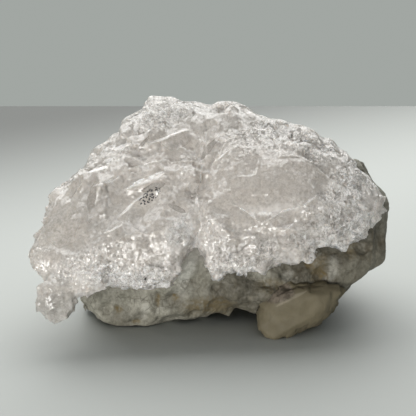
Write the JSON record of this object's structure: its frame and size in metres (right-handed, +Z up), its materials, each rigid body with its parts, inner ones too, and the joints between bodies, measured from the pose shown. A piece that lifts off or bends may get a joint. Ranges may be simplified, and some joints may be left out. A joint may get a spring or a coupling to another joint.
{
  "type": "kunzite specimen",
  "caption": "Hand specimen: a clear, pale pink broken crystal mass leaning back on a lump of white granular rock, which stands on a flat base",
  "frame": {"origin": "under the middle of the bounding box, on the plane that the specimen rests on", "axes": "+Z up, +X to the right along the specimen's longest side as its crystal face is looked at, -Y towards the crystal face's viewer"},
  "size_m": [0.0914, 0.0592, 0.0546],
  "materials": {
    "kunzite": "clear, broken, glassy with rough patches",
    "feldspar": "rough, granular, stained with ochre",
    "quartz": "waxy, cloudy, water-worn"
  },
  "bodies": {
    "root": {"kunzite_crystal": "kunzite", "feldspar_matrix": "feldspar", "quartz_nodule": "quartz"}
  },
  "joints": []
}
